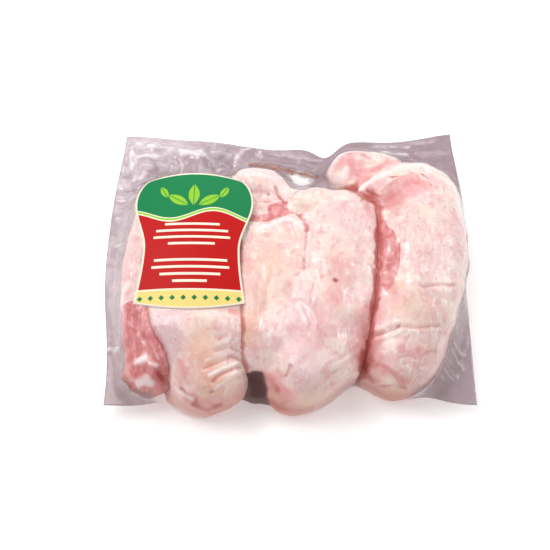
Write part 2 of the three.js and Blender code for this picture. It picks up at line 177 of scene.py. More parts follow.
# What the skin shows where: its tint, the places that a line of it passes, how far it reaches to each side,
# how strong it is and how far the surface stands up there, or sinks if negative.
MARKS = {
    "wing_outer_left": [
        ("lean", [(-157, 56, 38), (-150, 48, 50), (-142, 44, 60)], 9, 0.8, 0.0),
        ("pink", [(-154, -30, 50), (-150, -52, 54)], 9, 0.6, 0.0),
        # Painted shade: pink and lilac darken the left rim.
        ("pink", [(-156, 50, 42), (-158, 0, 42), (-158, -56, 40)], 10, 0.8, 0.0),
        ("lilac", [(-156, 50, 42), (-158, 0, 42), (-158, -56, 40)], 12, 0.9, 0.0),
        ("lean", [(-148, -88, 56), (-142, -98, 55), (-137, -110, 50), (-130, -126, 44)], 26, 1.0, -0.3),
        ("red", [(-138, -80, 62), (-131, -98, 62)], 5, 0.5, -0.8),
        ("red", [(-148, -98, 52), (-144, -116, 50)], 5, 0.5, -0.6),
        # Painted highlight along the upper left edge.
        ("pale", [(-150, -44, 60), (-158, -58, 44)], 4, 1.0, 0.8),
        ("pale", [(-141, -56, 67), (-134, -70, 67)], 2.6, 0.7, 0.6),
        ("pale", [(-136, -94, 62), (-130, -104, 62)], 2, 0.6, 0.6),
        ("pale", [(-122, -106, 62), (-117, -117, 59)], 1.8, 0.6, 0.8),
        ("pale", [(-137, -119, 54), (-130, -117, 59)], 4, 0.9, 1.6),
        ("pale", [(-124, -121, 58), (-118, -122, 56)], 3, 0.8, 1.4),
        ("pale", [(-135, -134, 44), (-128, -132, 49), (-124, -134, 48)], 4.5, 0.9, 1.6),
        ("red", [(-117, -129, 51), (-114, -131, 47)], 5, 1.0, -1.8),
        ("red", [(-108, -130, 39), (-104, -138, 34)], 3, 0.8, -0.5),
    ],
    "wing_left": [
        ("lilac", [(-111, -85, 73), (-107, -106, 65)], 15, 0.8, 0.0),
        ("warm", [(-79, -109, 72), (-73, -123, 67), (-68, -142, 60)], 16, 1.0, 0.0),
        ("pink", [(-80, -112, 71), (-74, -130, 64)], 12, 0.4, 0.0),
        ("warm", [(-90, -150, 34), (-64, -154, 34), (-46, -146, 40)], 10, 0.8, 0.0),
        ("pink", [(-53, -75, 70), (-46, -76, 66)], 5, 1.0, -0.4),
        ("pink", [(-96, -121, 61), (-92, -130, 60)], 5, 0.8, 0.5),
        ("pink", [(-102, -128, 50), (-96, -136, 50)], 4, 0.7, 0.5),
        ("crease", [(-76, -128, 65), (-63, -122, 64), (-52, -115, 60), (-42, -117, 51)], 1.3, 0.6, -1.0),
        ("crease", [(-68, -138, 58), (-59, -131, 59), (-51, -126, 57), (-43, -121, 47)], 1.4, 0.7, -1.2),
        ("crease", [(-70, -146, 52), (-58, -139, 51), (-47, -131, 48)], 1.3, 0.6, -1.0),
        ("crease", [(-66, -113, 67), (-56, -108, 65), (-46, -110, 60)], 1.3, 0.5, -0.9),
        ("crease", [(-64, -103, 69), (-54, -97, 68), (-44, -99, 64)], 1.3, 0.35, -0.7),
        ("crease", [(-76, -137, 62), (-68, -131, 64), (-60, -127, 64)], 1.2, 0.3, -0.5),
        # Painted highlights on the ridges between the creases.
        ("pale", [(-71, -133, 62), (-60, -127, 62), (-48, -120, 57)], 1.8, 0.9, 0.7),
        ("pale", [(-66, -143, 55), (-56, -135, 55), (-48, -127, 53)], 1.8, 0.8, 0.7),
        ("pale", [(-74, -121, 67), (-62, -116, 66), (-51, -111, 62)], 1.6, 0.8, 0.6),
        ("pale", [(-66, -107, 68), (-54, -103, 67)], 1.6, 0.6, 0.5),
        ("pale", [(-84, -122, 68), (-80, -134, 64)], 2.2, 0.5, 0.3),
        ("red", [(-96, -141, 48), (-90, -147, 46), (-84, -151, 45)], 2.8, 0.8, -0.6),
        ("pink", [(-90, -148, 46), (-76, -152, 44), (-62, -152, 42)], 7, 0.7, 0.0),
        ("red", [(-86, -153, 38), (-75, -156, 30), (-62, -153, 36)], 3, 1.0, -0.5),
        ("pale", [(-99, -141, 46), (-87, -149, 45)], 2.4, 0.9, 0.7),
    ],
    "wing_centre": [
        ("warm", [(-22, -8, 72), (-17, -40, 74), (-24, -64, 70)], 17, 0.6, 0.0),
        ("warm", [(-34, -78, 65), (-36, -98, 61)], 8, 1.0, 0.0),
        ("pink", [(-24, -92, 67), (-33, -108, 56)], 7, 0.4, 0.0),
        ("lean", [(-47, 29, 60), (-31, 25, 63), (-20, 25, 67), (-8, 29, 67), (1, 34, 65), (9, 30, 66)],
         5.5, 1.0, -1.4),
        ("pale", [(-47, 18, 60), (-31, 12, 67), (-18, 13, 72), (-5, 20, 72), (4, 19, 71), (13, 10, 71)],
         3, 1.0, 1.2),
        ("pale", [(-40, 84, 58), (-24, 80, 58), (-6, 66, 60)], 13, 0.5, 0.0),
        ("red", [(-12, 65, 61), (-9, 54, 61), (-5, 43, 67)], 2.6, 1.0, -1.4),
        ("red", [(-20, 57, 61), (-13, 50, 63)], 2.2, 0.8, -0.9),
        ("crease", [(-32, 59, 62), (-20, 57, 62)], 2, 0.5, -0.7),
        ("crease", [(-44, 52, 62), (-30, 49, 63), (-18, 47, 64)], 2.2, 0.6, -1.0),
        ("pink", [(-42, 42, 62), (-28, 39, 63), (-14, 38, 65)], 6, 0.5, 0.5),
        ("lean", [(-16, 36, 65), (-5, 40, 66), (4, 37, 68)], 5, 0.8, 0.0),
        ("warm", [(-39, -26, 64), (-39, -52, 64)], 9, 0.8, 0.0),
        ("pink", [(-40, -24, 63), (-40, -54, 63)], 8, 0.7, 0.0),
        ("pink", [(-43, 94, 54), (-34, 90, 60)], 5, 0.8, 0.0),
        ("crease", [(9, 60, 58), (3, 46, 66), (4, 38, 69), (9, 31, 70)], 2.2, 0.7, -1.2),
        # Painted shade, dark brown, in the gap between the lobe tips at the front.
        ("dark", [(-44, -146, 16), (-38, -134, 28), (-31, -131, 30), (-28, -144, 16)], 11, 1.0, 0.0),
        ("red", [(-36, -122, 42), (-27, -126, 42)], 3, 0.8, 0.0),
        ("fat", [(9, 38, 66), (22, 43, 70), (33, 47, 70)], 11, 0.9, 0.0),
        ("crease", [(43, 56, 64), (38, 42, 74), (38, 31, 76)], 1.8, 0.3, -0.9),
        ("lean", [(9, 29, 70), (15, 18, 72), (17, 8, 73)], 2.6, 0.8, -0.8),
        ("crease", [(17, 10, 72), (16, -3, 72), (14, -20, 73), (14, -34, 74)], 1.6, 0.6, -1.0),
        ("crease", [(14, -34, 74), (10, -57, 75)], 1.5, 0.25, -0.5),
        ("lilac", [(42, 32, 77), (54, 8, 79)], 13, 0.6, 0.0),
        ("lilac", [(14, -80, 75), (4, -104, 69), (12, -124, 63)], 21, 0.7, 0.0),
        ("pink", [(44, -28, 79), (42, -60, 78), (26, -86, 76), (8, -104, 70)], 20, 0.5, 0.0),
        ("pink", [(68, 55, 60), (75, 38, 67), (79, 24, 66)], 7, 0.6, 0.0),
        ("red", [(41, -47, 78), (42, -48, 78)], 2.8, 1.0, -0.5),
        ("crease", [(22, -50, 77), (19, -70, 76)], 1.5, 0.5, -0.9),
        # Painted highlights on the skin's tension lines.
        ("pale", [(25, -36, 76), (27, -50, 76)], 1.8, 0.9, 0.8),
        ("pale", [(7, -70, 74), (11, -80, 75), (15, -90, 75)], 1.6, 0.9, 0.7),
        ("pale", [(9, -68, 75), (18, -76, 76), (24, -88, 75)], 1.6, 0.7, 0.6),
        ("red", [(0, -126, 66), (-3, -133, 61)], 2.2, 0.6, -0.4),
        ("pink", [(-24, -130, 48), (-12, -138, 50), (-4, -144, 44)], 8, 1.0, 0.0),
        ("red", [(-28, -128, 46), (-19, -136, 48), (-12, -142, 44)], 3, 0.8, -0.5),
        ("red", [(0, -143, 47), (8, -148, 40)], 2.2, 0.4, -0.3),
        ("red", [(-20, -146, 28), (-8, -153, 24), (8, -156, 22)], 4, 0.9, 0.0),
        ("crease", [(32, -127, 68), (46, -119, 65), (62, -104, 58)], 1.2, 0.4, -0.7),
        ("crease", [(38, -132, 63), (49, -125, 60), (63, -111, 51)], 1.2, 0.4, -0.7),
        ("crease", [(36, -141, 56), (51, -131, 54), (64, -118, 42)], 1.2, 0.5, -0.7),
        ("crease", [(46, -106, 68), (56, -96, 64), (64, -88, 58)], 1.2, 0.3, -0.5),
        ("crease", [(22, -118, 70), (30, -112, 71)], 1.2, 0.3, -0.5),
        ("pale", [(36, -129, 65), (48, -121, 63), (60, -108, 56)], 1.5, 0.6, 0.4),
        ("warm", [(-10, -148, 38), (12, -152, 38), (36, -146, 40)], 12, 0.8, 0.0),
        ("pink", [(56, -126, 44), (64, -112, 48)], 6, 0.6, 0.0),
        # Red and pink down the crevice to the right wing, darkened further as painted shade.
        ("pink", [(70, -68, 62), (66, -92, 60), (60, -112, 56)], 9, 0.8, 0.0),
        ("crease", [(66, -108, 50), (63, -120, 42)], 6, 0.9, 0.0),
        ("red", [(72, -74, 58), (69, -94, 56), (64, -112, 50)], 5, 0.6, 0.0),
    ],
    "wing_right": [
        ("pale", [(71, 59, 68), (87, 73, 65), (111, 86, 64), (134, 86, 68), (140, 76, 72)], 3.2, 1.0, 0.8),
        ("pink", [(84, 85, 61), (100, 97, 57), (116, 102, 50)], 7, 1.0, 0.0),
        ("pink", [(62, 92, 62), (72, 84, 61), (78, 72, 66)], 12, 0.95, 0.0),
        ("pale", [(44, 78, 48), (51, 81, 54), (58, 86, 58)], 6, 0.8, 0.0),
        ("red", [(62, 107, 58), (72, 111, 56), (83, 103, 58)], 4, 0.6, -0.4),
        ("crease", [(66, 74, 62), (80, 86, 60), (98, 92, 60)], 1.8, 0.5, -1.0),
        ("red", [(80, 58, 64), (87, 53, 63), (90, 46, 61)], 4, 1.0, -2.2),
        ("red", [(88, 45, 62), (91, 34, 62)], 5, 0.8, -0.8),
        ("lean", [(97, 53, 65), (106, 60, 69), (120, 64, 75)], 10, 0.5, 0.0),
        ("pink", [(100, 42, 69), (114, 46, 76), (124, 56, 77)], 12, 1.0, 0.0),
        ("red", [(100, 74, 65), (110, 70, 70)], 1.8, 1.0, -0.9),
        ("red", [(131, 70, 75), (136, 63, 76), (138, 54, 77)], 1.8, 0.8, -0.5),
        ("lean", [(88, 28, 62), (91, 5, 68)], 5, 0.9, 0.0),
        ("lean", [(92, 3, 68), (95, -9, 72), (93, -23, 71)], 9, 0.9, 0.0),
        ("lean", [(93, -23, 71), (90, -35, 69), (85, -45, 65)], 10, 0.9, 0.0),
        ("pale", [(93, 0, 68), (94, -14, 70)], 1.6, 1.0, 0.4),
        ("pink", [(80, -42, 62), (90, -52, 68), (97, -62, 72)], 9, 0.7, 0.0),
        ("pale", [(82, -39, 61), (86, -48, 65), (88, -57, 67)], 1.5, 0.9, 0.5),
        ("red", [(84, 28, 60), (87, 7, 60), (79, -23, 62)], 3.4, 0.7, 0.0),
        ("red", [(76, -42, 60), (72, -61, 60), (72, -84, 52), (74, -95, 52)], 3.6, 0.7, 0.0),
        ("red", [(70, -100, 46), (68, -113, 42), (70, -128, 34)], 6, 0.7, 0.0),
        ("crease", [(116, -50, 77), (121, -55, 77), (135, -52, 75), (153, -48, 66)], 1.5, 0.5, -1.0),
        ("crease", [(75, -94, 56), (85, -93, 64), (94, -91, 67), (98, -89, 68)], 2, 0.9, -1.6),
        ("crease", [(98, -89, 68), (114, -91, 68), (134, -87, 62)], 1.5, 0.5, -1.0),
        # Painted highlights round the long fold.
        ("pale", [(80, -90, 63), (85, -87, 66), (92, -84, 69), (97, -86, 70)], 1.8, 0.9, 0.8),
        ("pale", [(87, -97, 64), (98, -95, 67)], 1.9, 0.8, 0.8),
        ("red", [(96, -117, 62), (105, -114, 62), (112, -116, 60)], 1.8, 0.6, -0.5),
        ("red", [(101, -121, 60), (108, -120, 60), (114, -122, 58)], 1.7, 0.5, -0.4),
        ("red", [(118, -114, 58), (126, -109, 56), (136, -106, 54)], 1.9, 0.5, -0.4),
        ("red", [(114, -108, 63), (118, -117, 58)], 1.6, 0.4, -0.3),
        ("pink", [(102, -112, 63), (124, -112, 58)], 8, 0.5, 0.0),
        ("red", [(80, -119, 55), (88, -125, 56), (96, -133, 50)], 2.4, 0.5, -0.5),
        ("pink", [(81, -121, 55), (89, -126, 56), (102, -134, 51)], 6, 0.8, 0.0),
        ("pale", [(86, -119, 59), (96, -127, 57), (106, -133, 52)], 1.8, 0.7, 0.4),
        ("crease", [(83, -135, 36), (94, -137, 46), (105, -139, 40)], 1.7, 0.7, -1.1),
        ("red", [(70, -122, 41), (76, -131, 36)], 5, 0.8, 0.0),
        ("warm", [(104, -52, 73), (102, -70, 71)], 13, 0.6, 0.0),
        ("warm", [(120, -72, 72), (100, -76, 71)], 12, 0.4, 0.0),
        ("warm", [(88, -142, 28), (104, -141, 28)], 9, 0.9, 0.0),
        # Painted shade in the gap between the lobe tips at the front.
        ("dark", [(60, -128, 20), (58, -136, 14)], 9, 0.6, 0.0),
        # Red and pink down the crevice to the centre wing, darkened further as painted shade.
        ("pink", [(76, -78, 60), (75, -100, 58), (74, -118, 52)], 10, 0.9, 0.0),
        ("red", [(73, -88, 56), (72, -104, 54), (71, -118, 48)], 6, 0.6, 0.0),
        ("crease", [(70, -112, 48), (68, -122, 42)], 6, 0.9, 0.0),
    ],
}
TINTS = ("lean", "fat", "red", "warm", "lilac", "pale", "pink", "crease", "dark", "low")
# Tints with a firm edge, and half the width of that edge. The others fade out.
FIRM_TINTS = ("lean", "fat", "dark")
FIRM_EDGE = 2.5
# How far noise moves a mark's fading edge, as a share of the distance.
EDGE_WANDER = 0.35
# The skin stands up in a lip to each side of a crease: how high, as a share of the crease's depth, and how
# many times its reach away.
LIP_HEIGHT = 0.3
LIP_DISTANCE = 2.2
# How each tint's edge is torn by noise, and from and to which strength it comes up.
TINT_EDGES = {
    "pink": (0.8, 0.05, 1.05),
    "lean": (1.0, 0.25, 0.7),
    "crease": (0.4, 0.05, 1.1),
    "red": (0.7, 0.1, 1.1),
    "fat": (1.0, 0.2, 0.8),
    "pale": (0.7, 0.1, 1.0),
    "dark": (0.4, 0.2, 0.9),
}
# How red the skin is where two lobes press together, darker there as painted shade, and how far from it the
# red reaches.
SEAM_RED_AND_SHADE = {
    ("outer_left", "left"): (0.5, 5),
    ("left", "centre"): (0.2, 3),
    ("left", "middle_right"): (0.8, 6),
    ("middle_right", "right"): (1.0, 9),
}
# Heights between which painted shade turns the skin browner and darker towards the floor.
LOW_PAINTED_SHADE = (52, 18)

# The film's folds in the border: the places that one passes, its height and how far it reaches to each side.
FILM_FOLDS = [
    ([(-176, 143), (-134, 138), (-93, 130)], 2.4, 4.0),
    ([(-167, 136), (-166, 115), (-161, 95)], 2.4, 2.2),
    ([(-159, 124), (-150, 128), (-140, 122), (-132, 114)], 2.8, 2.6),
    ([(-156, 111), (-145, 106), (-148, 93)], -2.4, 3.0),
    ([(-126, 128), (-112, 120)], -2.0, 4.0),
    ([(-116, 124), (-110, 114), (-113, 106)], 2.0, 2.0),
    ([(-93, 132), (-80, 120), (-74, 110)], 2.6, 2.2),
    ([(-70, 124), (-62, 112)], -2.0, 3.0),
    ([(-54, 122), (-47, 133), (-34, 136), (-26, 124)], 2.6, 2.2),
    ([(-44, 122), (-36, 126)], -1.6, 3.0),
    ([(-181, 76), (-162, 71)], 2.4, 2.0),
    ([(-175, 49), (-164, 47)], 2.2, 2.0),
    ([(-175, 14), (-163, 12)], 2.0, 2.0),
    ([(-176, 0), (-173, -44), (-169, -94)], 1.0, 1.8),
    ([(-172, -94), (-165, -95), (-157, -100)], 2.6, 3.0),
    ([(-172, -118), (-152, -128)], 0.8, 2.4),
    ([(-27, 132), (3, 125), (35, 119)], 1.2, 2.4),
    ([(-18, 122), (13, 118), (32, 111)], 0.9, 2.0),
    ([(91, 136), (110, 138), (130, 138)], 2.2, 2.0),
    ([(99, 131), (128, 128)], 2.4, 2.0),
    ([(140, 129), (144, 125)], 2.8, 2.6),
    ([(177, 128), (180, 96), (181, 65)], 1.4, 1.8),
    ([(150, 104), (168, 84)], 0.9, 2.6),
    ([(152, -66), (172, -58)], 0.8, 2.4),
    ([(145, -85), (164, -100)], 2.0, 1.7),
    ([(148, -95), (163, -113)], 1.8, 1.6),
    ([(138, -103), (155, -121)], 2.0, 1.6),
    ([(130, -110), (153, -124)], 1.8, 1.6),
    ([(127, -120), (147, -127)], 1.6, 1.7),
    ([(142, -94), (150, -106)], -1.4, 2.0),
    ([(56, -122), (70, -134)], 1.2, 1.6),
    ([(64, -120), (60, -134)], 1.2, 1.6),
    ([(74, -124), (64, -136)], 1.0, 1.6),
]
# Crumpled patches of the border: the middle, how far the patch reaches and how high its crumples are.
FILM_CRUMPLES = [
    ((-138, 114), 28, 2.4),
    ((-76, 116), 24, 2.0),
    ((-162, 78), 16, 1.4),
    ((148, 126), 24, 0.9),
    ((10, 112), 26, 0.6),
]
# Distances from the label between which the folds grow to their full height.
FOLD_START = (2, 8)
# How much whiter the film is painted on its folds as painted highlight: from and to which lift.
FOLD_PAINTED_HIGHLIGHT = (0.4, 2.6)

# A painted highlight, a whiter and hazier patch of film behind the pieces: its middle and its reach.
PAINTED_GLINT_PATCH = ((13, 94, 30), 17)

# Meat juice caught behind the centre piece: the places that it passes.
JUICE_PATH = [(-44, 115), (-22, 112), (0, 107), (13, 103), (28, 99), (42, 95)]
JUICE_HALF_WIDTH = 4.2
JUICE_THICKNESS = 2.0
JUICE_RISE = 1.4
JUICE_WAVINESS = 0.35
JUICE_STEPS = 64
JUICE_SIDES = 8
JUICE_SMOOTHING = 12
# How hazy the film is over the juice, and how much clearer it gets where it climbs a wing's side, from and to
# which height over the border.
JUICE_HAZE = 0.4
STEEP_CLEARNESS = 0.5
STEEP_CLIMB = (14, 30)
# The front of the border is clear: how far back, and how far to each side of its middle, in shares.
CLEAR_FRONT = (0.16, 0.08)
CLEAR_MIDDLE = 0.48
CLEAR_HALF = (0.37, 0.31)

# The label's print: each leaf's middle, turn and half length, how wide a leaf is for its length, and each
# bar's place and half length.
LABEL_LEAVES = [
    ((0, 46), math.pi / 2, 13),
    ((-15, 40), math.radians(148), 12),
    ((15, 40), math.radians(32), 12),
    ((-29, 50), math.radians(118), 8),
    ((29, 50), math.radians(62), 8),
]
LEAF_WIDTH = 0.42
LABEL_BARS = [(12, 26), (5, 34), (-2, 36), (-9, 22), (-26, 34), (-33, 36), (-40, 28), (-47, 16)]

CAMERA_AIM = (-13.1, -16.5, 28)
CAMERA_DISTANCE = 780
CAMERA_ELEVATION = 62.5
CAMERA_LENS = 51.9

# Lights: the place, what it aims at, its size and its power.
LIGHTS = {
    "key_above": ((-550, 150, 1200), (0, 0, 40), (800, 800), 6.2),
    "key_behind": ((100, 1200, 750), (0, 0, 40), (1400, 500), 7),
    "left_side": ((-1100, 100, 800), (0, 0, 30), (500, 900), 3.5),
    "right_side": ((1100, 200, 700), (0, 0, 30), (400, 900), 4.6),
    "fill_front": ((0, -900, 1100), (0, 0, 30), (900, 600), 2),
    "spark_left": ((-450, 420, 1000), (0, 0, 30), (120, 120), 1.2),
    "spark_right": ((520, 380, 950), (0, 0, 30), (120, 120), 0.8),
}
SURROUND_COLOUR = (1, 0.99, 0.985, 1)
SURROUND_STRENGTH = 0.28
FLOOR_HALF = 3000
FLOOR_HEIGHT = -0.3


def bell(distance, reach):
    return np.exp(-((distance / reach) ** 2))


def blend(a, b, share):
    return a + (b - a) * share


def smooth(share):
    t = np.clip(share, 0, 1)
    return t * t * (3 - 2 * t)


def ramp(value, start, end):
    """0 at start and before it, 1 at end and past it, and smooth between them."""
    return smooth((value - start) / (end - start))


def through_three(a, b, c, t):
    """Value at share t of a curve that passes a, b and c at 0, a half and 1."""
    return a * (1 - t) * (1 - 2 * t) + 4 * b * t * (1 - t) + c * t * (2 * t - 1)


def lattice(cells, seed):
    """A repeatable number from 0 to 1 for each cell, a row of three whole numbers."""
    word = 0xFFFFFFFF
    mixed = cells[:, 0] * 73856093 ^ cells[:, 1] * 19349663 ^ cells[:, 2] * 83492791 ^ seed * 974711
    mixed &= word
    mixed = ((mixed ^ (mixed >> 15)) * 739982445) & word
    mixed = ((mixed ^ (mixed >> 12)) * 695872825) & word
    return (mixed ^ (mixed >> 15)) / word


def lumps(points, size, seed):
    """Smooth noise from -1 to 1 at points, with lumps size across, which may be one number or one an axis."""
    scaled = points / size
    low = np.floor(scaled).astype(np.int64)
    part = smooth(scaled - low)
    total = np.zeros(len(points))
    for corner in itertools.product((0, 1), repeat=3):
        weight = np.prod(np.where(corner, part, 1 - part), axis=1)
        total += weight * lattice(low + np.array(corner), seed)
    return 2 * total - 1


def distance_to_path(points, path):
    """Distance from each point to a line through the path's places. Height, where given, counts half."""
    weight = np.array([1, 1, 0.5])[: len(path[0])]
    spots = points[:, : len(path[0])] * weight
    places = np.array(path) * weight
    best = np.full(len(points), np.inf)
    for start, end in zip(places, places[1:]):
        step = end - start
        share = np.clip((spots - start) @ step / (step @ step), 0, 1)
        best = np.minimum(best, np.linalg.norm(spots - start - share[:, None] * step, axis=1))
    return best


def ball_run(far, middle, near, plump):
    """The balls of a form: their middles, their half widths and how plump they are."""
    length = math.dist(far[:3], middle[:3]) + math.dist(middle[:3], near[:3])
    t = np.linspace(0, 1, max(3, round(length / BALL_SPACING)))[:, None]
    stations = through_three(np.array(far), np.array(middle), np.array(near), t)
    return stations[:, :3], stations[:, 3], plump


BALLS = {name: ball_run(*form) for name, form in FORMS.items()}


def depth_in(points, lobes):
    """How deep each point is in the lobes' balls, negative outside them, and the middle of its ball."""
    names = [name for lobe in lobes for name in LOBES[lobe]]
    depths = []
    for name in names:
        centres, radii, plump = BALLS[name]
        squared = (points[:, :1] - centres[:, 0]) ** 2 + (points[:, 1:2] - centres[:, 1]) ** 2
        squared += ((points[:, 2:] - centres[:, 2]) / plump) ** 2
        depths.append(radii - np.sqrt(squared))
    depths = np.concatenate(depths, axis=1)
    deepest = np.argmax(depths, axis=1)
    middles = np.concatenate([BALLS[name][0] for name in names])
    return depths[np.arange(len(points)), deepest], middles[deepest]


def depth_in_heap(points, wing, waver=True):
    """How deep each point is in the wing's own share of the heap, and how much deeper than in a neighbour."""
    depths = {lobe: depth_in(points, (lobe,))[0] for lobe in LOBES}
    if waver:
        for seed, lobe in enumerate(LOBES):
            depths[lobe] += SEAM_WAVER * lumps(points, SEAM_WAVES, seed)
    heap = np.full(len(points), -np.inf)
    parted = ramp(points[:, 1], *FRONT_PARTING) + ramp(points[:, 1], *BACK_PARTING)
    together = blend(1, PARTING_FLOW, parted)
    for (one, other), (full_flow, groove) in PRESSED.items():
        flow = full_flow * together
        apart = depths[one] - depths[other]
        filling = np.maximum(0, 1 - np.abs(apart) / flow) ** 2 * flow / 4
        pair = np.maximum(depths[one], depths[other]) + filling - groove * bell(apart, GROOVE_REACH)
        heap = np.maximum(heap, pair)
    own = np.max([depths[lobe] for lobe in WINGS[wing]], axis=0)
    beside = np.max([depths[lobe] for lobe in LOBES if lobe not in WINGS[wing]], axis=0)
    return np.minimum(heap, own - beside + CONTACT_OVERLAP), own - beside


def squeeze(points, wing, waver):
    """Draws each point towards its ball's middle, to where the wing's own share of the heap ends."""
    middle = depth_in(points, WINGS[wing])[1]
    inward = middle - points
    near = np.zeros(len(points))
    far = np.ones(len(points))
    for _ in range(SQUEEZE_STEPS):
        share = (near + far) / 2
        inside = depth_in_heap(points + share[:, None] * inward, wing, waver)[0] > 0
        far = np.where(inside, share, far)
        near = np.where(inside, near, share)
    return points + far[:, None] * inward


def averaged(values, edges, times, where=None):
    """Values at the vertices, each moved times over halfway to the mean of its neighbours."""
    count = np.bincount(edges.ravel(), minlength=len(values))[:, None]
    for _ in range(times):
        total = np.stack([
            np.bincount(edges[:, 0], values[edges[:, 1], k], len(values))
            + np.bincount(edges[:, 1], values[edges[:, 0], k], len(values))
            for k in range(values.shape[1])
        ], axis=1)
        moved = blend(values, total / count, 0.5)
        values = moved if where is None else np.where(where[:, None], moved, values)
    return values


def vertex_normals(points, quads):
    across = np.cross(points[quads[:, 2]] - points[quads[:, 0]], points[quads[:, 3]] - points[quads[:, 1]])
    total = np.stack([
        sum(np.bincount(quads[:, corner], across[:, k], len(points)) for corner in range(4)) for k in range(3)
    ], axis=1)
    return total / np.maximum(np.linalg.norm(total, axis=1, keepdims=True), 1e-9)


def mesh_object(name, points, faces, material, tints=None):
    """A new piece from points in millimetres, with a number at each vertex for each tint."""
    mesh = bpy.data.meshes.new(name)
    mesh.from_pydata((points * MM).tolist(), [], [list(face) for face in faces])
    mesh.polygons.foreach_set("use_smooth", [True] * len(mesh.polygons))
    for tint, values in (tints or {}).items():
        mesh.attributes.new(tint, "FLOAT", "POINT").data.foreach_set("value", values.astype(np.float32))
    mesh.materials.append(material)
    piece = bpy.data.objects.new(name, mesh)
    bpy.context.scene.collection.objects.link(piece)
    return piece


def label_half_width(share):
    """The label's half width, which draws in from the foot to a waist and swells to rounded shoulders."""
    waist_share = LABEL_SHOULDER_SHARE / 2
    flare = np.sin(np.pi / 2 * np.clip(share / waist_share, 0, 1))
    foot = blend(LABEL_FOOT_HALF, LABEL_WAIST_HALF, flare)
    body = blend(LABEL_WAIST_HALF, LABEL_SHOULDER_HALF, smooth((share - waist_share) / waist_share))
    over = np.clip((share - LABEL_SHOULDER_SHARE) / (1 - LABEL_SHOULDER_SHARE), 0, 1)
    head = LABEL_SHOULDER_HALF - LABEL_TOP_CORNER * (1 - np.sqrt(1 - LABEL_TOP_ROUNDNESS * over**2))
    return np.select([share < waist_share, share < LABEL_SHOULDER_SHARE], [foot, body], head)


def label_height(x, y):
    across = x - LABEL_CENTRE[0]
    along = y - LABEL_CENTRE[1]
    return LABEL_CROWN - LABEL_SIDE_FALL * across**2 - LABEL_END_FALL * along**2


def inside_label(x, y):
    """How far (x, y) is inside the label's outline, negative outside it."""
    share = np.clip((y - LABEL_CENTRE[1]) / LABEL_LENGTH + 0.5, 0, 1)
    side = label_half_width(share) - np.abs(x - LABEL_CENTRE[0])
    end = LABEL_LENGTH / 2 - np.abs(y - LABEL_CENTRE[1])
    return np.minimum(side, end)


def below_label(x, y, inside):
    """The height that the label leaves free under it, and more beside it."""
    return label_height(x, y) - LABEL_GAP + LABEL_RELEASE * np.maximum(0, -inside) ** 2


def numbers_of(elements, field, width, kind):
    """A field of a mesh's elements, which holds width numbers in each element."""
    found = np.zeros(len(elements) * width, kind)
    elements.foreach_get(field, found)
    return found


def rough_shape(wing):
    """One closed skin round all the wing's balls, as points in millimetres, quads and edges."""
    ball = bmesh.new()
    bmesh.ops.create_icosphere(ball, subdivisions=3, radius=1)
    ball_points = np.array([v.co for v in ball.verts])
    ball_faces = np.array([[v.index for v in f.verts] for f in ball.faces])
    ball.free()
    points = []
    faces = []
    for centres, radii, plump in [BALLS[name] for lobe in WINGS[wing] for name in LOBES[lobe]]:
        for centre, radius in zip(centres, radii):
            faces.append(ball_faces + len(points) * len(ball_points))
            points.append(ball_points * (radius + SWELL) * (1, 1, plump) + centre)
    mesh = bpy.data.meshes.new(wing + "_rough")
    mesh.from_pydata(np.concatenate(points).tolist(), [], np.concatenate(faces).tolist())
    rough = bpy.data.objects.new(wing + "_rough", mesh)
    bpy.context.scene.collection.objects.link(rough)
    remesh = rough.modifiers.new("one_skin", "REMESH")
    remesh.mode = "VOXEL"
    remesh.voxel_size = VOXEL
    skin = bpy.data.meshes.new_from_object(rough.evaluated_get(bpy.context.evaluated_depsgraph_get()))
    found = numbers_of(skin.vertices, "co", 3, np.float32)
    quads = numbers_of(skin.loops, "vertex_index", 1, np.int32)
    edges = numbers_of(skin.edges, "vertices", 2, np.int32)
    bpy.data.objects.remove(rough)
    bpy.data.meshes.remove(mesh)
    bpy.data.meshes.remove(skin)
    return found.reshape(-1, 3).astype(float), quads.reshape(-1, 4), edges.reshape(-1, 2)


def paint_marks(points, wing, seed):
    """How strong each tint is at each point, and how far the marks lift it."""
    tints = {tint: np.zeros(len(points)) for tint in TINTS}
    lift = np.zeros(len(points))
    waves = lumps(points, 6, seed) + lumps(points, 13, seed + 1)
    for tint, path, reach, strength, height in MARKS[wing]:
        distance = distance_to_path(points, path)
        if tint in FIRM_TINTS:
            amount = ramp(distance + waves, reach + FIRM_EDGE, reach - FIRM_EDGE)
        else:
            amount = bell(distance * (1 + EDGE_WANDER * waves), reach)
        tints[tint] = np.maximum(tints[tint], strength * amount)
        lips = LIP_HEIGHT * bell(distance - LIP_DISTANCE * reach, reach) if tint == "crease" else 0
        lift += height * (bell(distance, reach) - lips)
    return tints, lift


def seam_red_and_shade(points, wing, seed):
    """How red the skin is where it dips between this wing and its neighbours, darker there as painted shade.
    """
    own = depth_in(points, WINGS[wing])[0]
    patchy = 1 + 0.5 * lumps(points, 5, seed) + 0.4 * lumps(points, 12, seed + 1)
    amount = np.zeros(len(points))
    for pair, (strength, reach) in SEAM_RED_AND_SHADE.items():
        others = [lobe for lobe in pair if lobe not in WINGS[wing]]
        if len(others) == 1:
            near = own - depth_in(points, others)[0]
            amount = np.maximum(amount, strength * ramp(near, reach * patchy, 0.3 * reach * patchy))
    return amount


def bends(share, rows):
    """How far an outline's swells or dips move it at that share of its side."""
    return sum(depth * bell(share - middle, reach) for middle, reach, depth in rows)


